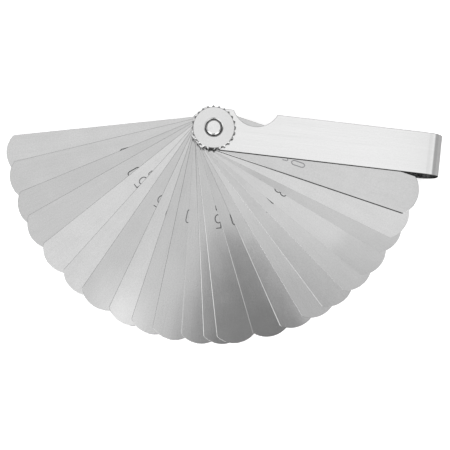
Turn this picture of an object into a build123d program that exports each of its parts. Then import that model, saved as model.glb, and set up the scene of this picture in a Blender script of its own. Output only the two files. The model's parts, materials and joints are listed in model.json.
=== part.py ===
from build123d import *
import os

# Metric feeler gauge: a fan of hardened steel leaves on one pivot stud,
# carried between the two sides of a folded steel strip and locked by a
# knurled nut.
#
# Frame: the pivot axis is Z at X = Y = 0, the flat outer face of the lower
# side of the holder lies on Z = 0, the holder runs along +X to its folded
# end, and the leaves are fanned out on the -Y side.

# ---------------------------------------------------------------- dimensions (mm)
# leaf thicknesses from the top of the stack to the bottom
THICKNESS = [1.00, 0.02, 0.05, 0.03, 0.10, 0.15, 0.20, 0.25, 0.30, 0.35, 0.40,
             0.45, 0.50, 0.55, 0.60, 0.65, 0.70, 0.75, 0.80, 0.85, 0.90, 0.95]
# how far each leaf is fanned out of the holder, degrees below the holder axis
FAN = [12.1, 19.6, 24.5, 32.8, 39.2, 46.7, 52.75, 59.45, 67.2, 77.2, 80.9,
       87.1, 95.2, 101.5, 108.6, 117.9, 125.2, 134.6, 143.7, 150.9, 159.8, 167.4]

blade_width = 12.7          # half-inch leaf stock
blade_reach = 69.65         # pivot centre to leaf tip
blade_tip_radius = 8.46     # shallow crowned tip
blade_hole_d = 5.16         # turns on the 5 mm stud
play = 0.035                # running gap between neighbouring faces

strip_t = 0.7               # holder strip thickness
strip_w = 13.6              # holder strip width
holder_back = 7.0           # pivot centre to the open end
holder_reach = 75.0         # pivot centre to the outside of the fold
fold_radius = 5.4           # outer radius of the two fold corners
corner_cut = 3.55            # chamfered corners of the open end
notch_x, notch_y, notch_r = 12.9, 9.9, 7.75   # finger notch

stud_d = 5.0
stud_proud = 0.35            # its end stands above the nut's face
stud_head_d = 6.6           # head set flush in the lower side
upper_hole_d = 5.2

nut_h = 2.2
nut_face_r = 6.5
knurl_tip_r = 7.15
knurl_root_r = 6.62
knurl_teeth = 24
knurl_phase = 7.0           # degrees, where the first tooth stands
nut_bore_d = 5.1
nut_sink_d = 6.2
nut_gap = 0.03

# ---------------------------------------------------------------- derived
stack_h = sum(THICKNESS) + play * (len(THICKNESS) + 1)
inner_top = strip_t + stack_h           # underside of the upper side
holder_h = inner_top + strip_t          # outside face of the upper side
nut_z = holder_h + nut_gap
nut_top = nut_z + nut_h

half_w = blade_width / 2
tip_sagitta = blade_tip_radius - (blade_tip_radius ** 2 - half_w ** 2) ** 0.5
shoulder_x = blade_reach - tip_sagitta  # where the crowned tip meets the sides

fold_cx = holder_reach - fold_radius
fold_inner = fold_radius - strip_t

os.makedirs("parts", exist_ok=True)

# ---------------------------------------------------------------- holder
with BuildPart() as holder:
    with BuildSketch(Plane.XZ):
        with BuildLine():
            Line((-holder_back, 0), (fold_cx, 0))
            CenterArc((fold_cx, fold_radius), fold_radius, -90, 90)
            Line((holder_reach, fold_radius), (holder_reach, holder_h - fold_radius))
            CenterArc((fold_cx, holder_h - fold_radius), fold_radius, 0, 90)
            Line((fold_cx, holder_h), (-holder_back, holder_h))
            Line((-holder_back, holder_h), (-holder_back, inner_top))
            Line((-holder_back, inner_top), (fold_cx, inner_top))
            CenterArc((fold_cx, holder_h - fold_radius), fold_inner, 0, 90)
            Line((fold_cx + fold_inner, holder_h - fold_radius),
                 (fold_cx + fold_inner, fold_radius))
            CenterArc((fold_cx, fold_radius), fold_inner, -90, 90)
            Line((fold_cx, strip_t), (-holder_back, strip_t))
            Line((-holder_back, strip_t), (-holder_back, 0))
        make_face()
    extrude(amount=strip_w / 2, both=True)
    # chamfered corners of the open end, both sides
    chamfer(holder.edges().filter_by(Axis.Z).group_by(Axis.X)[0], length=corner_cut)
    # finger notch through both sides
    with BuildSketch(Plane.XY):
        with Locations((notch_x, notch_y)):
            Circle(notch_r)
    extrude(amount=holder_h, mode=Mode.SUBTRACT)
    # plain hole for the stud in the upper side
    with BuildSketch(Plane.XY.offset(inner_top)):
        Circle(upper_hole_d / 2)
    extrude(amount=strip_t, mode=Mode.SUBTRACT)
    # countersunk seat for the stud head in the lower side
    with BuildSketch(Plane.XZ):
        Polygon([(0, 0), (stud_head_d / 2, 0), (stud_d / 2, strip_t), (0, strip_t)],
                align=None)
    revolve(axis=Axis.Z, mode=Mode.SUBTRACT)
holder.part.label = "holder"
export_step(holder.part, "parts/holder.step")

# ---------------------------------------------------------------- pivot stud
with BuildPart() as pivot_screw:
    with BuildSketch(Plane.XZ):
        Polygon([(0, 0), (stud_head_d / 2, 0), (stud_d / 2, strip_t),
                 (stud_d / 2, nut_top + stud_proud - 0.45), (stud_d / 2 - 0.45, nut_top + stud_proud),
                 (0, nut_top + stud_proud)], align=None)
    revolve(axis=Axis.Z)
pivot_screw.part.label = "pivot_screw"
export_step(pivot_screw.part, "parts/pivot_screw.step")

# ---------------------------------------------------------------- knurled nut
tooth = []
pitch = 360.0 / knurl_teeth
for k in range(knurl_teeth):
    a = k * pitch + knurl_phase
    tooth.append(Vector(knurl_root_r, 0).rotate(Axis.Z, a - 4.6))
    tooth.append(Vector(knurl_tip_r, 0).rotate(Axis.Z, a - 0.9))
    tooth.append(Vector(knurl_tip_r, 0).rotate(Axis.Z, a + 0.9))
    tooth.append(Vector(knurl_root_r, 0).rotate(Axis.Z, a + 4.6))

with BuildPart() as knurled_nut:
    with BuildSketch(Plane.XY.offset(nut_z)):
        Polygon([(v.X, v.Y) for v in tooth], align=None)
    extrude(amount=nut_h)
    # turned chamfers top and bottom cut the knurl back to a plain rim
    with BuildSketch(Plane.XZ):
        Polygon([(0, nut_z), (nut_face_r + 0.35, nut_z), (knurl_tip_r + 0.05, nut_z + 0.22),
                 (knurl_tip_r + 0.05, nut_top - 0.38), (nut_face_r, nut_top),
                 (0, nut_top)], align=None)
    revolve(axis=Axis.Z, mode=Mode.INTERSECT)
    # threaded bore (plain) with its countersink, the rim eased
    with BuildSketch(Plane.XZ):
        Polygon([(0, nut_z - 0.1), (nut_bore_d / 2, nut_z - 0.1),
                 (nut_bore_d / 2, nut_top - 0.40), (nut_sink_d / 2 - 0.34, nut_top - 0.17),
                 (nut_sink_d / 2 + 0.04, nut_top), (nut_sink_d / 2 + 0.04, nut_top + 0.1),
                 (0, nut_top + 0.1)], align=None)
    revolve(axis=Axis.Z, mode=Mode.SUBTRACT)
knurled_nut.part.label = "knurled_nut"
export_step(knurled_nut.part, "parts/knurled_nut.step")

# ---------------------------------------------------------------- leaves
z_top = inner_top - play
for t, fan in zip(THICKNESS, FAN):
    z_low = z_top - t
    with BuildPart() as blade:
        with BuildSketch(Plane.XY.offset(z_low).rotated((0, 0, -fan))):
            with BuildLine():
                ThreePointArc((0, half_w), (-half_w, 0), (0, -half_w))
                Line((0, -half_w), (shoulder_x, -half_w))
                ThreePointArc((shoulder_x, -half_w), (blade_reach, 0), (shoulder_x, half_w))
                Line((shoulder_x, half_w), (0, half_w))
            make_face()
            Circle(blade_hole_d / 2, mode=Mode.SUBTRACT)
        extrude(amount=t)
    name = "blade_" + ("%.2f" % t).replace(".", "_")
    blade.part.label = name
    export_step(blade.part, "parts/" + name + ".step")
    z_top = z_low - play
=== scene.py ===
import bpy
import bmesh
import json
import math
from mathutils import Matrix, Vector


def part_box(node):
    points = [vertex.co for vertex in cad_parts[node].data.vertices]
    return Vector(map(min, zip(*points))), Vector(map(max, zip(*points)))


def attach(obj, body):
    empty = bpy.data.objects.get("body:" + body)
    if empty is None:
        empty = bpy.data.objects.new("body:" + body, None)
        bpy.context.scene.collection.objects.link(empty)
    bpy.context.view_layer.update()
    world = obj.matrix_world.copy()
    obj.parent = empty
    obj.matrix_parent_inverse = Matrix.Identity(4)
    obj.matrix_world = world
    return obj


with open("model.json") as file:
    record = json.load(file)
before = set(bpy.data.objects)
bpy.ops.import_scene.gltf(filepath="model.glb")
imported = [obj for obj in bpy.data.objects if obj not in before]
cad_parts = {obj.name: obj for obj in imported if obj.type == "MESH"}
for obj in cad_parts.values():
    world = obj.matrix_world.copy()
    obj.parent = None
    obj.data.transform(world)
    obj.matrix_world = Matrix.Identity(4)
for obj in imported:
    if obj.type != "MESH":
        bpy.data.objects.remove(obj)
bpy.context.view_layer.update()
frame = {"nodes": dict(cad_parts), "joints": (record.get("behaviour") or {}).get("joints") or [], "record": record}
nodes = frame["nodes"]
scene = bpy.context.scene
MM = 0.001

joint_of = {j["child"]: j for j in frame["joints"]}
blades = [n for n in frame["record"]["behaviour"]["bodies"] if n.startswith("blade_")]
# a leaf's upper limit is "closed in the holder", so it is also its fan angle at rest
fan_deg = {n: joint_of[n]["range_deg"][1] for n in blades}
box = {n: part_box(n) for n in nodes}


# ------------------------------------------------------------------ node helpers
class Tree:
    """Small helper that adds and links shader nodes."""

    def __init__(self, tree):
        self.t = tree
        tree.nodes.clear()

    def node(self, kind, **props):
        n = self.t.nodes.new(kind)
        for k, v in props.items():
            setattr(n, k, v)
        return n

    def put(self, socket, value):
        if isinstance(value, bpy.types.NodeSocket):
            self.t.links.new(value, socket)
        else:
            socket.default_value = value

    def math(self, op, a, b=None, c=None, clamp=False):
        n = self.node("ShaderNodeMath", operation=op, use_clamp=clamp)
        for i, v in enumerate((a, b, c)):
            if v is not None:
                self.put(n.inputs[i], v)
        return n.outputs[0]

    def step(self, value, a, b, lo=0.0, hi=1.0):
        n = self.node("ShaderNodeMapRange", interpolation_type="SMOOTHSTEP")
        self.put(n.inputs["Value"], value)
        n.inputs["From Min"].default_value = a
        n.inputs["From Max"].default_value = b
        n.inputs["To Min"].default_value = lo
        n.inputs["To Max"].default_value = hi
        return n.outputs["Result"]

    def linear(self, value, a, b, lo, hi):
        n = self.node("ShaderNodeMapRange", interpolation_type="LINEAR")
        self.put(n.inputs["Value"], value)
        n.inputs["From Min"].default_value = a
        n.inputs["From Max"].default_value = b
        n.inputs["To Min"].default_value = lo
        n.inputs["To Max"].default_value = hi
        return n.outputs["Result"]

    def noise(self, vector, scale, detail=2.0, rough=0.5, dim="3D", w=None):
        n = self.node("ShaderNodeTexNoise", noise_dimensions=dim)
        if vector is not None:
            self.put(n.inputs["Vector"], vector)
        if w is not None:
            self.put(n.inputs["W"], w)
        n.inputs["Scale"].default_value = scale
        n.inputs["Detail"].default_value = detail
        n.inputs["Roughness"].default_value = rough
        return n.outputs[0]

    def mapped(self, vector, rot_z=0.0, scale=(1, 1, 1), loc=(0, 0, 0)):
        n = self.node("ShaderNodeMapping")
        self.put(n.inputs["Vector"], vector)
        n.inputs["Rotation"].default_value = (0, 0, rot_z)
        n.inputs["Scale"].default_value = scale
        n.inputs["Location"].default_value = loc
        return n.outputs[0]

    def grey(self, value, tint=(1.0, 1.0, 1.0)):
        n = self.node("ShaderNodeCombineColor")
        for i in range(3):
            self.put(n.inputs[i], self.math("MULTIPLY", value, tint[i]))
        return n.outputs[0]

    def bump(self, height, strength, distance, normal=None):
        n = self.node("ShaderNodeBump")
        n.inputs["Strength"].default_value = strength
        n.inputs["Distance"].default_value = distance
        self.put(n.inputs["Height"], height)
        if normal is not None:
            self.put(n.inputs["Normal"], normal)
        return n.outputs[0]


def material(name):
    m = bpy.data.materials.new(name)
    m.use_nodes = True
    return m, Tree(m.node_tree)


def principled(t, **inputs):
    b = t.node("ShaderNodeBsdfPrincipled")
    for k, v in inputs.items():
        t.put(b.inputs[k.replace("_", " ")], v)
    out = t.node("ShaderNodeOutputMaterial")
    t.t.links.new(b.outputs[0], out.inputs["Surface"])
    return b


# ------------------------------------------------------------------ materials
def side_wall(t, lo=0.25, hi=0.62):
    """1 on the sheared side walls of a flat part, 0 on its faces."""
    sep = t.node("ShaderNodeSeparateXYZ")
    t.put(sep.inputs[0], t.node("ShaderNodeNewGeometry").outputs["True Normal"])
    return t.step(t.math("ABSOLUTE", sep.outputs["Z"]), hi, lo)


def vary(t, total, noise_value, amount):
    return t.math("ADD", total, t.math("MULTIPLY", t.math("SUBTRACT", noise_value, 0.5), amount))


# how far each leaf leans, along and across it, in radians
LEAN = {"0_20": (0.012, 0.020)}
# how far the sheared long edges are rolled over, in millimetres (leaves not named: crisp)
ROLL = {"0_15": 0.075, "0_25": 0.045, "0_30": 0.010, "0_35": 0.09, "0_40": 0.10, "0_45": 0.03}


# lengths of a leaf painted lighter and darker, a painted light and shade of the leaf's waviness: (from mm, to mm,
# change) along it
PAINTED_LIGHT_AND_SHADE = {"0_20": ((34.0, 22.0, 0.09),), "0_25": ((38.0, 30.0, -0.11),),
         "0_05": ((33.0, 28.0, -0.07), (20.0, 15.0, 0.07)), "0_03": ((50.0, 58.0, -0.10), (20.0, 34.0, 0.03)),
         "0_10": ((24.0, 16.0, -0.04),), "0_90": ((40.0, 30.0, 0.03),)}


def blade_material(name, fan, tone, seed, wall_shade=0.80):
    """Rolled and lapped spring steel: lengthwise grain, fine mottle, smudges, and side walls painted dark as a
    painted shade of the gap beside each edge.
    """
    m, t = material(name)
    obj = t.node("ShaderNodeTexCoord").outputs["Object"]
    local = t.mapped(obj, rot_z=math.radians(fan))            # x along the leaf, y across it
    shifted = t.mapped(local, loc=(0.013 * seed, 0.007 * seed, 0.0))
    streak = t.noise(t.mapped(shifted, scale=(150, 3200, 3200)), 1.0, 3.0, 0.6)
    broad = t.noise(t.mapped(shifted, scale=(22, 380, 380)), 1.0, 2.0, 0.5)
    mottle = t.noise(shifted, 2300.0, 3.0, 0.65)
    smudge = t.noise(shifted, 130.0, 3.0, 0.55)
    sep = t.node("ShaderNodeSeparateXYZ")
    t.put(sep.inputs[0], local)
    across = t.math("ABSOLUTE", sep.outputs["Y"])
    edge = t.step(across, 0.00595, 0.00632)                   # long edges, painted a little lighter as a painted highlight of their rounded rims
    wall = side_wall(t)
    s = vary(t, 1.0, streak, 0.09)
    s = vary(t, s, mottle, 0.25)
    s = vary(t, s, broad, 0.06)
    s = vary(t, s, smudge, 0.12)
    s = t.math("ADD", s, t.math("MULTIPLY", edge, 0.03))
    # painted light and shade: listed lengths of the leaf are brightened or darkened
    for a, b, amount in PAINTED_LIGHT_AND_SHADE.get(name.replace("steel_", ""), ()):
        s = t.math("ADD", s, t.math("MULTIPLY", t.step(sep.outputs["X"], a * MM, b * MM), amount))
    value = t.math("MULTIPLY", s, tone)
    # painted shade: the side walls are painted dark, standing in for the shadowed gap beside each leaf's edge
    value = t.math("MULTIPLY", value, t.math("SUBTRACT", 1.0, t.math("MULTIPLY", wall, wall_shade)))
    rough = vary(t, 0.095, smudge, 0.05)
    rough = vary(t, rough, mottle, 0.03)
    rough = t.math("ADD", rough, t.math("MULTIPLY", wall, 0.25))
    height = t.math("ADD", t.math("MULTIPLY", streak, 0.5), t.math("MULTIPLY", mottle, 0.5))
    # a fanned leaf never lies quite flat: it leans a little on its neighbours' edges
    lean_x, lean_y = LEAN.get(name.replace("steel_", ""), (0.0, 0.0))
    waves = t.noise(t.mapped(shifted, scale=(55, 90, 55)), 1.0, 1.0, 0.4)
    sag = t.math("ADD", t.math("MULTIPLY", sep.outputs["X"], -lean_x),
                 t.math("MULTIPLY", sep.outputs["Y"], -lean_y))
    sag = t.math("ADD", sag, t.math("MULTIPLY", waves, 0.00004))
    roll = ROLL.get(name.replace("steel_", ""), 0.0)
    if roll:
        sag = t.math("SUBTRACT", sag, t.math("MULTIPLY", t.step(across, 0.00604, 0.00637), roll * MM))
    normal = t.bump(height, 0.35, 0.0000030, t.bump(sag, 1.0, 1.0))
    tangent = t.node("ShaderNodeTangent", direction_type="RADIAL", axis="Z")
    # painted shade: the walls' reflections are painted darker too
    tint = t.grey(t.math("SUBTRACT", 1.0, t.math("MULTIPLY", wall, wall_shade - 0.25)))
    principled(t, Base_Color=t.grey(value), Metallic=1.0, Roughness=rough, Specular_Tint=tint,
               Anisotropic=0.25, Tangent=tangent.outputs[0], Normal=normal)
    return m


def holder_material():
    """Satin stainless strip with a faint lengthwise grain that runs round the fold."""
    m, t = material("holder_satin_steel")
    obj = t.node("ShaderNodeTexCoord").outputs["Object"]
    streak = t.noise(t.mapped(obj, scale=(60, 3600, 60)), 1.0, 3.0, 0.5)
    broad = t.noise(t.mapped(obj, scale=(14, 420, 14)), 1.0, 2.0, 0.5)
    mottle = t.noise(obj, 1900.0, 3.0, 0.6)
    smudge = t.noise(obj, 80.0, 3.0, 0.55)
    sep = t.node("ShaderNodeSeparateXYZ")
    t.put(sep.inputs[0], obj)
    across = t.math("ABSOLUTE", sep.outputs["Y"])
    # the strip's sheared sides face along Y, all along it and round the fold
    nrm = t.node("ShaderNodeSeparateXYZ")
    t.put(nrm.inputs[0], t.node("ShaderNodeNewGeometry").outputs["True Normal"])
    # the front side's dark mask reaches further round its bevel than the back's: painted shade for the dark line and
    # shadowed gap along the front edge
    wall = t.math("MAXIMUM", t.step(nrm.outputs["Y"], 0.78, 0.97), t.step(nrm.outputs["Y"], -0.12, -0.35))
    # long edges, painted a little lighter as a painted highlight of their rounded rims
    edge = t.step(across, 0.00648, 0.00678)
    s = vary(t, 1.0, streak, 0.10)
    s = vary(t, s, mottle, 0.09)
    s = vary(t, s, broad, 0.06)
    s = t.math("ADD", s, t.math("MULTIPLY", edge, 0.03))
    value = t.math("MULTIPLY", s, 0.805)
    # painted shade: the walls and front bevel are painted dark, standing in for the shadow and dark reflection along
    # the edges
    value = t.math("MULTIPLY", value, t.math("SUBTRACT", 1.0, t.math("MULTIPLY", wall, 0.92)))
    rough = vary(t, 0.125, smudge, 0.06)
    rough = vary(t, rough, streak, 0.04)
    rough = t.math("ADD", rough, t.math("MULTIPLY", wall, 0.25))
    normal = t.bump(t.math("ADD", streak, mottle), 0.25, 0.000003)
    # painted shade: their reflections are painted dark too
    tint = t.grey(t.math("SUBTRACT", 1.0, t.math("MULTIPLY", wall, 0.92)))
    principled(t, Base_Color=t.grey(value), Metallic=1.0, Roughness=rough, Specular_Tint=tint, Normal=normal)
    return m


def turned_material(name, tone, base_rough, ring_scale, rim, dull):
    """Turned steel: fine concentric tool marks about the pivot axis, worn rim."""
    m, t = material(name)
    obj = t.node("ShaderNodeTexCoord").outputs["Object"]
    sep = t.node("ShaderNodeSeparateXYZ")
    t.put(sep.inputs[0], obj)
    rr = t.math("SQRT", t.math("ADD", t.math("MULTIPLY", sep.outputs["X"], sep.outputs["X"]),
                               t.math("MULTIPLY", sep.outputs["Y"], sep.outputs["Y"])))
    rings = t.noise(None, ring_scale, 4.0, 0.6, dim="1D", w=rr)
    mottle = t.noise(obj, 1500.0, 3.0, 0.6)
    smudge = t.noise(obj, 260.0, 2.0, 0.5)
    worn = t.step(rr, rim - 0.00035, rim)
    s = t.math("ADD", t.math("MULTIPLY", t.math("SUBTRACT", rings, 0.5), 0.10),
               t.math("MULTIPLY", t.math("SUBTRACT", mottle, 0.5), 0.05))
    s = t.math("ADD", s, t.math("MULTIPLY", t.math("SUBTRACT", smudge, 0.5), 0.05))
    s = t.math("ADD", s, t.math("MULTIPLY", worn, 0.05))
    value = t.math("MULTIPLY", t.math("ADD", s, 1.0), tone)
    # thread, countersink and knurl are painted darker than the faced ends: partly a dark oil film, partly painted
    # shade in the gaps and between the teeth
    value = t.math("MULTIPLY", value, t.math("SUBTRACT", 1.0, t.math("MULTIPLY", side_wall(t, 0.84, 0.95), dull)))
    # painted shade: the steep walls are painted darker still, standing in for the shadow between the knurl's teeth
    # and round the stud
    value = t.math("MULTIPLY", value, t.math("SUBTRACT", 1.0, t.math("MULTIPLY", side_wall(t, 0.20, 0.50), 0.58)))
    rough = t.math("ADD", base_rough, t.math("MULTIPLY", t.math("SUBTRACT", smudge, 0.5), 0.12))
    rough = t.math("ADD", rough, t.math("MULTIPLY", t.math("SUBTRACT", rings, 0.5), 0.08))
    normal = t.bump(t.math("ADD", rings, t.math("MULTIPLY", mottle, 0.25)), 0.35, 0.000004)
    tangent = t.node("ShaderNodeTangent", direction_type="RADIAL", axis="Z")
    # painted shade: the steep walls' reflections are painted dark too
    tint = t.grey(t.math("SUBTRACT", 1.0, t.math("MULTIPLY", side_wall(t, 0.20, 0.50), 0.58)))
    principled(t, Base_Color=t.grey(value), Metallic=1.0, Roughness=rough, Specular_Tint=tint,
               Anisotropic=0.45, Tangent=tangent.outputs[0], Normal=normal)
    return m


def mark_material(name, tone):
    """Dark electro-etched marking, slightly uneven."""
    m, t = material(name)
    obj = t.node("ShaderNodeTexCoord").outputs["Object"]
    blot = t.noise(obj, 2600.0, 3.0, 0.6)
    value = t.math("ADD", tone, t.math("MULTIPLY", t.math("SUBTRACT", blot, 0.5), 0.10))
    rough = t.math("ADD", 0.52, t.math("MULTIPLY", t.math("SUBTRACT", blot, 0.5), 0.2))
    principled(t, Base_Color=t.grey(value, (1.0, 1.0, 1.03)), Metallic=0.35, Roughness=rough,
               Normal=t.bump(blot, 0.3, 0.000004))
    return m


# per-leaf tone, fitted to each leaf's brightness: partly the stock's own tone, partly a painted reflection of how
# each leaf leans
TONE = {"1_00": 0.595, "0_02": 0.641, "0_05": 0.548, "0_03": 0.611, "0_10": 0.592,
        "0_15": 0.554, "0_20": 0.556, "0_25": 0.622, "0_30": 0.519, "0_35": 0.540,
        "0_40": 0.527, "0_45": 0.545, "0_50": 0.533, "0_55": 0.538, "0_60": 0.599,
        "0_65": 0.562, "0_70": 0.655, "0_75": 0.674, "0_80": 0.584, "0_85": 0.566,
        "0_90": 0.592, "0_95": 0.622}


def finish_node(name, mat, width, segments=2, angle=30.0):
    """Material on every slot, then a weld and a small bevel so that the edges catch light."""
    o = nodes[name]
    if not o.material_slots:
        o.data.materials.append(mat)
    for s in o.material_slots:
        s.material = mat
    w = o.modifiers.new("weld", "WELD")
    w.merge_threshold = 0.000002
    flat = o.modifiers.new("flats", "DECIMATE")               # coplanar triangles back into flat faces
    flat.decimate_type = "DISSOLVE"
    flat.angle_limit = math.radians(0.4)
    if width:
        b = o.modifiers.new("edge", "BEVEL")
        b.width = width
        b.segments = segments
        b.limit_method = "ANGLE"
        b.angle_limit = math.radians(angle)
        b.harden_normals = False
        b.use_clamp_overlap = True
        b.loop_slide = True
    n = o.modifiers.new("normals", "WEIGHTED_NORMAL")
    n.weight = 60
    n.keep_sharp = False
    n.mode = "FACE_AREA"
    return o


for i, name in enumerate(blades):
    key = name.replace("blade_", "")
    thick = box[name][1].z - box[name][0].z
    mat = blade_material("steel_" + key, fan_deg[name], TONE[key], i + 1, 0.92 if key == "1_00" else 0.80)
    finish_node(name, mat, min(0.00015, thick * 0.36) if thick > 0.00008 else 0.0)
finish_node("holder", holder_material(), 0.00027, 3, 35.0)
finish_node("knurled_nut", turned_material("nut_turned_steel", 0.745, 0.20, 5200.0, 0.00715, 0.60), 0.00003, 2, 18.0)
finish_node("pivot_screw", turned_material("stud_turned_steel", 0.82, 0.24, 4200.0, 0.0020, 0.45), 0.00005, 2, 35.0)


# ------------------------------------------------------------------ etched numbers
def arc(cx, cy, rx, ry, a0, a1, n=18):
    return [(cx + rx * math.cos(math.radians(a0 + (a1 - a0) * k / n)),
             cy + ry * math.sin(math.radians(a0 + (a1 - a0) * k / n))) for k in range(n + 1)]


def glyph(ch):
    """Strokes of a plain engraving alphabet, in mm: (points, closed)."""
    if ch == "0":
        return [(arc(0, 3.42, 0.70, 0.93, 0, 180) + arc(0, 0.93, 0.70, 0.93, 180, 360), True)]
    if ch == "1":
        return [([(-0.60, 3.40), (0.15, 4.35)], False), ([(0.15, 4.35), (0.15, 0.0)], False)]
    if ch == "2":
        return [(arc(0, 3.35, 0.85, 1.0, 165, -30) + [(-0.85, 0.0)], False),
                ([(-0.85, 0.0), (0.88, 0.0)], False)]
    if ch == "3":
        return [(arc(-0.06, 3.30, 0.80, 1.05, 150, -88), False),
                (arc(-0.06, 1.14, 0.96, 1.14, 92, -150), False)]
    if ch == "4":
        return [([(0.45, 0.0), (0.45, 4.35)], False), ([(0.45, 4.35), (-0.90, 1.2)], False),
                ([(-0.90, 1.2), (0.92, 1.2)], False)]
    if ch == "5":
        return [([(0.76, 4.35), (-0.66, 4.35)], False), ([(-0.66, 4.35), (-0.78, 2.40)], False),
                ([(-0.78, 2.40)] + arc(-0.06, 1.34, 0.98, 1.34, 112, -148), False)]
    if ch == "6":
        return [(arc(0, 1.25, 0.85, 1.25, 180, 540, 30), True),
                ([(-0.85, 1.25)] + arc(0.35, 1.9, 1.20, 2.45, 185, 82), False)]
    if ch == "7":
        return [([(-0.85, 4.35), (0.85, 4.35)], False), ([(0.85, 4.35), (-0.28, 0.0)], False)]
    if ch == "8":
        return [(arc(0, 3.35, 0.72, 1.0, -90, 270, 28), True),
                (arc(0, 1.17, 0.88, 1.17, 90, 450, 30), True)]
    if ch == "9":
        return [([(-x, 4.35 - y) for x, y in p], c) for p, c in glyph("6")]
    if ch == ".":
        return [([(-0.04, 0.08), (0.04, 0.08)], False)]
    if ch == "m":
        return [([(-0.86, 0.0), (-0.86, 1.6)], False),
                ([(-0.86, 1.05)] + arc(-0.43, 1.1, 0.43, 0.5, 170, 0, 10) + [(0.0, 0.0)], False),
                ([(0.0, 1.05)] + arc(0.43, 1.1, 0.43, 0.5, 170, 0, 10) + [(0.86, 0.0)], False)]
    return []


def clean(points, closed):
    out = []
    for p in points:
        if not out or math.hypot(p[0] - out[-1][0], p[1] - out[-1][1]) > 0.02:
            out.append(p)
    if closed and math.hypot(out[0][0] - out[-1][0], out[0][1] - out[-1][1]) < 0.02:
        out.pop()
    return out


def offsets(points, closed, hw):
    n = len(points)
    left, right = [], []
    for i, p in enumerate(points):
        a = points[i - 1] if (closed or i > 0) else None
        b = points[(i + 1) % n] if (closed or i < n - 1) else None
        dirs = []
        for u, v in ((a, p), (p, b)):
            if u is not None and v is not None:
                d = Vector((v[0] - u[0], v[1] - u[1]))
                dirs.append(d.normalized())
        d = sum(dirs, Vector((0, 0)))
        d = d.normalized() if d.length > 1e-6 else dirs[0]
        nrm = Vector((-d.y, d.x))
        k = hw / max(0.45, nrm.dot(Vector((-dirs[0].y, dirs[0].x))))
        left.append((p[0] + nrm.x * k, p[1] + nrm.y * k))
        right.append((p[0] - nrm.x * k, p[1] - nrm.y * k))
    return left, right


def add_stroke(bm, points, closed, hw, place, low, high):
    """One closed solid ribbon, built as a strip of quads with round ends."""
    points = clean(points, closed)
    left, right = offsets(points, closed, hw)
    n = len(points)

    def ring(z):
        return ([bm.verts.new(place(q[0], q[1], z)) for q in left],
                [bm.verts.new(place(q[0], q[1], z)) for q in right])

    (l0, r0), (l1, r1) = ring(low), ring(high)
    for i in range(n if closed else n - 1):
        j = (i + 1) % n
        bm.faces.new((l1[i], r1[i], r1[j], l1[j]))
        bm.faces.new((l0[i], l0[j], r0[j], r0[i]))
        bm.faces.new((l0[i], l1[i], l1[j], l0[j]))
        bm.faces.new((r0[i], r0[j], r1[j], r1[i]))
    if closed:
        return
    for c, side, a_lo, a_hi, b_lo, b_hi in ((points[-1], right[-1], r0[-1], r1[-1], l0[-1], l1[-1]),
                                            (points[0], left[0], l0[0], l1[0], r0[0], r1[0])):
        a0 = math.atan2(side[1] - c[1], side[0] - c[0])
        round_pts = [(c[0] + hw * math.cos(a0 + math.pi * k / 7), c[1] + hw * math.sin(a0 + math.pi * k / 7))
                     for k in range(1, 7)]
        lows = [a_lo] + [bm.verts.new(place(q[0], q[1], low)) for q in round_pts] + [b_lo]
        highs = [a_hi] + [bm.verts.new(place(q[0], q[1], high)) for q in round_pts] + [b_hi]
        bm.faces.new(highs)
        bm.faces.new(list(reversed(lows)))
        for i in range(len(lows) - 1):
            bm.faces.new((lows[i], lows[i + 1], highs[i + 1], highs[i]))


MARK = {"dark": mark_material("etched_marking_dark", 0.085), "mid": mark_material("etched_marking", 0.16),
        "light": mark_material("etched_marking_faint", 0.25)}
STRENGTH = {"1_00": "light", "0_03": "dark", "0_10": "dark", "0_30": "dark", "0_35": "dark", "0_80": "dark"}

# each leaf was marked by hand in a jig, so the figures wander a little: mm across, mm along
SHIFT = {"1_00": (0.20, -0.35), "0_02": (-0.60, 0.0), "0_03": (0.0, -0.30), "0_10": (0.60, -0.95),
         "0_15": (-0.32, -0.10), "0_30": (0.08, -0.30), "0_35": (-0.06, 0.05), "0_50": (0.36, -0.65),
         "0_65": (-0.30, -0.70), "0_70": (-0.30, 0.0), "0_75": (0.25, -0.62), "0_80": (-0.15, -0.37),
         "0_85": (-0.30, 0.0), "0_90": (-0.62, -0.20), "0_95": (-0.60, 0.0)}

UNIT_SHIFT = {"0_75": (0.35, 0.0)}   # extra wander of the unit


def marking(name):
    """The leaf's thickness and its unit, across the leaf near the pivot, top towards the tip."""
    key = name.replace("blade_", "")
    beta = -math.radians(fan_deg[name])
    ax = Vector((math.cos(beta), math.sin(beta), 0.0))        # along the leaf
    cw = Vector((math.sin(beta), -math.cos(beta), 0.0))       # across it, clockwise
    top = box[name][1].z
    dv, du = SHIFT.get(key, (0.0, 0.0))
    bm = bmesh.new()
    lift = 0
    f = key.replace("_", "")
    # (figure, centre across, base along); the point stands after the first figure
    lay = [(f[2], 1.85, 27.65), (f[1], -0.60, 27.65), (".", -2.2, 27.65), (f[0], -3.75, 27.65),
           ("m", 1.25, 24.65), ("m", -1.05, 24.65)]
    for ch, vc, base in lay:
        hw = 0.17 if ch != "m" else 0.15
        for pts, closed in glyph(ch):
            ev, eu = UNIT_SHIFT.get(key, (0.0, 0.0)) if ch == "m" else (0.0, 0.0)

            def place(x, y, z, vc=vc + ev, base=base + eu):
                return ax * ((base + du + y) * MM) + cw * ((vc + dv + x) * MM) + Vector((0, 0, z))
            add_stroke(bm, pts, closed, hw, place, top - 0.000004, top + 0.000004 + lift * 0.0000003)
            lift += 1
    bmesh.ops.recalc_face_normals(bm, faces=bm.faces)
    me = bpy.data.meshes.new("marking_" + key)
    bm.to_mesh(me)
    bm.free()
    o = bpy.data.objects.new("marking_" + key, me)
    scene.collection.objects.link(o)
    me.materials.append(MARK[STRENGTH.get(key, "mid")])
    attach(o, name)
    return o


for name in blades:
    marking(name)


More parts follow.
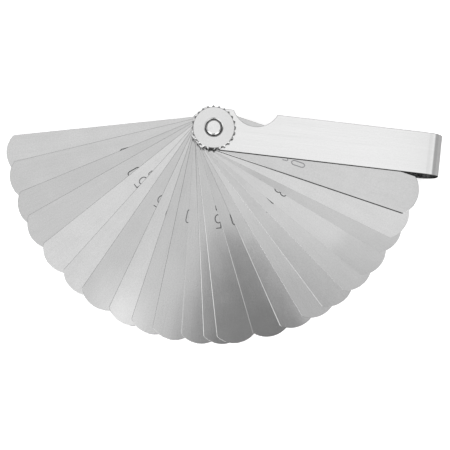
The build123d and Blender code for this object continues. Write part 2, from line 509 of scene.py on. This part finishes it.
# ------------------------------------------------------------------ stage
me = bpy.data.meshes.new("floor")
bm = bmesh.new()
s = 1.6
vs = [bm.verts.new((x * s, y * s, -0.00002)) for x, y in ((-1, -1), (1, -1), (1, 1), (-1, 1))]
bm.faces.new(vs)
bm.to_mesh(me)
bm.free()
floor = bpy.data.objects.new("floor", me)
scene.collection.objects.link(floor)
fm, ft = material("floor_paper")
seen = ft.node("ShaderNodeBsdfDiffuse")
seen.inputs["Color"].default_value = (0.93, 0.93, 0.93, 1)
glow = ft.node("ShaderNodeEmission")
glow.inputs["Color"].default_value = (1, 1, 1, 1)
glow.inputs["Strength"].default_value = 0.42
both = ft.node("ShaderNodeAddShader")
ft.t.links.new(seen.outputs[0], both.inputs[0])
ft.t.links.new(glow.outputs[0], both.inputs[1])
dull = ft.node("ShaderNodeBsdfDiffuse")
dull.inputs["Color"].default_value = (0.40, 0.40, 0.40, 1)
path = ft.node("ShaderNodeLightPath")
mix = ft.node("ShaderNodeMixShader")
ft.t.links.new(path.outputs["Is Camera Ray"], mix.inputs[0])
ft.t.links.new(dull.outputs[0], mix.inputs[1])
ft.t.links.new(both.outputs[0], mix.inputs[2])
fo = ft.node("ShaderNodeOutputMaterial")
ft.t.links.new(mix.outputs[0], fo.inputs["Surface"])
me.materials.append(fm)

# studio surroundings: a white tent with two bright side panels, a dark front and back, and a
# dark shape overhead where the photographer leans in
world = bpy.data.worlds.new("studio")
scene.world = world
world.use_nodes = True
w = Tree(world.node_tree)
d = w.node("ShaderNodeTexCoord").outputs["Generated"]
ws = w.node("ShaderNodeSeparateXYZ")
w.put(ws.inputs[0], d)
dx, dy, dz = ws.outputs
flat = w.math("SQRT", w.math("ADD", w.math("MULTIPLY", dx, dx), w.math("MULTIPLY", dy, dy)))
flat = w.math("MAXIMUM", flat, 0.0001)
ux, uy = w.math("DIVIDE", dx, flat), w.math("DIVIDE", dy, flat)


def lobe(azimuth, half, soft):
    a = math.radians(azimuth)
    dot = w.math("ADD", w.math("MULTIPLY", ux, math.cos(a)), w.math("MULTIPLY", uy, math.sin(a)))
    return w.step(dot, math.cos(math.radians(half + soft)), math.cos(math.radians(half)))


def add(total, part, amount):
    return w.math("ADD", total, w.math("MULTIPLY", part, amount))


def times(*parts):
    out = parts[0]
    for p in parts[1:]:
        out = w.math("MULTIPLY", out, p)
    return out


def less(value, part, amount):
    return w.math("MULTIPLY", value, w.math("SUBTRACT", 1.0, w.math("MULTIPLY", part, amount)))


low = w.step(dz, 0.92, 0.55)                         # 1 towards the horizon
side = add(0.34, lobe(-122, 19, 6), 2.0)
side = add(side, lobe(-50, 19, 6), 2.0)
side = add(side, times(lobe(-167, 14, 6), w.step(dz, 0.58, 0.68)), 1.5)
side = add(side, times(lobe(0, 20, 10), w.step(dz, 0.40, 0.58)), 0.55)
side = add(side, lobe(0, 20, 10), 0.10)
side = add(side, times(lobe(86, 8, 8), w.step(dz, 0.35, 0.15)), 0.45)
side = add(side, lobe(-171, 6, 5), 0.7)
side = less(side, lobe(-86, 10, 6), 0.85)
side = less(side, lobe(138, 42, 10), 0.50)
side = less(side, lobe(52, 24, 10), 0.60)
band = times(w.step(dz, 0.05, 0.13), w.step(dz, 0.46, 0.34))   # lit walls a little above the horizon
side = add(side, less(band, lobe(0, 30, 10), 1.0), 0.42)

# overhead, in the studio's own axes: qx to the right, qy to the front, thousandths
TURN = math.atan2(0.1147, 0.9934)
ox, oy = w.math("SUBTRACT", dx, 0.00937), w.math("SUBTRACT", dy, 0.04266)
qx = w.math("MULTIPLY", add(w.math("MULTIPLY", ox, math.cos(TURN)), oy, math.sin(TURN)), 1000.0)
qy = w.math("MULTIPLY", add(w.math("MULTIPLY", oy, -math.cos(TURN)), ox, math.sin(TURN)), 1000.0)
over = add(1.0, w.linear(dx, -0.10, 0.22, -0.10, 0.22), 0.30)
lean_r = w.math("SUBTRACT", qx, add(54.0, w.math("SUBTRACT", qy, 41.0), 0.49))
lean_l = w.math("ADD", qx, add(18.0, w.math("SUBTRACT", qy, 41.0), 0.30))
window = times(w.step(lean_l, -24.0, 24.0), w.step(lean_r, 30.0, -30.0))
body = add(w.math("MULTIPLY", w.step(qy, 2.0, 18.0), 0.55), w.step(qy, 18.0, 150.0), 0.085)
over = less(over, times(window, body), 1.0)
over = less(over, times(w.step(qy, -14.0, 100.0), w.step(qx, 20.0, 70.0)), 0.24)
over = less(over, w.step(qx, 196.0, 268.0), 0.16)
bx = w.math("DIVIDE", w.math("SUBTRACT", qx, -124.0), 38.0)
by = w.math("DIVIDE", w.math("SUBTRACT", qy, 112.0), 44.0)
br = w.math("SQRT", w.math("ADD", w.math("MULTIPLY", bx, bx), w.math("MULTIPLY", by, by)))
over = add(over, w.step(br, 1.3, 0.2), 0.44)


def spot(cx, cy, rx, ry):
    a = w.math("DIVIDE", w.math("SUBTRACT", qx, cx), rx)
    b = w.math("DIVIDE", w.math("SUBTRACT", qy, cy), ry)
    r = w.math("SQRT", w.math("ADD", w.math("MULTIPLY", a, a), w.math("MULTIPLY", b, b)))
    return w.step(r, 1.3, 0.3)


over = add(over, spot(-86.0, 62.0, 46.0, 40.0), 0.08)
over = less(over, spot(152.0, 36.0, 26.0, 22.0), 0.09)
sky = w.math("ADD", w.math("MULTIPLY", low, side),
             w.math("MULTIPLY", w.math("SUBTRACT", 1.0, low), over))
sky = w.math("MAXIMUM", sky, 0.02)
bg = w.node("ShaderNodeBackground")
w.put(bg.inputs["Color"], w.grey(sky))
bg.inputs["Strength"].default_value = 1.0
plain = w.node("ShaderNodeBackground")
plain.inputs["Color"].default_value = (1, 1, 1, 1)
plain.inputs["Strength"].default_value = 1.0
wmix = w.node("ShaderNodeMixShader")
w.t.links.new(w.node("ShaderNodeLightPath").outputs["Is Camera Ray"], wmix.inputs[0])
w.t.links.new(bg.outputs[0], wmix.inputs[1])
w.t.links.new(plain.outputs[0], wmix.inputs[2])
wo = w.node("ShaderNodeOutputWorld")
w.t.links.new(wmix.outputs[0], wo.inputs["Surface"])


def softbox(name, loc, size, power, glossy):
    light = bpy.data.lights.new(name, "AREA")
    light.shape = "SQUARE"
    light.size = size
    light.energy = power
    o = bpy.data.objects.new(name, light)
    scene.collection.objects.link(o)
    o.location = loc
    o.rotation_mode = "QUATERNION"
    o.rotation_quaternion = (Vector((0, -0.03, 0)) - Vector(loc)).to_track_quat("-Z", "Y")
    o.visible_glossy = glossy
    return o


softbox("key_soft", (-0.35, 0.25, 0.75), 0.7, 3.0, False)
softbox("fill_soft", (0.5, -0.45, 0.6), 0.6, 1.6, False)

# ------------------------------------------------------------------ camera
cam = bpy.data.cameras.new("camera")
co = bpy.data.objects.new("camera", cam)
scene.collection.objects.link(co)
top_face = box["holder"][1].z
rows = ((0.99335471, 0.11421468, 0.01419224),
        (-0.11471110, 0.99253989, 0.04130302),
        (-0.00936896, -0.04265656, 0.99904587))
rot = Matrix(rows).transposed()
co.rotation_mode = "QUATERNION"
co.rotation_quaternion = rot.to_quaternion()
co.location = (0.00465858, -0.04196697, 0.26686210 + top_face)
cam.sensor_width = 36.0
cam.lens = 66.558
cam.clip_start, cam.clip_end = 0.01, 20.0
cam.dof.use_dof = False
scene.camera = co

scene.view_settings.view_transform = "Standard"
scene.view_settings.look = "None"
scene.view_settings.exposure = 0.0
scene.view_settings.gamma = 1.0
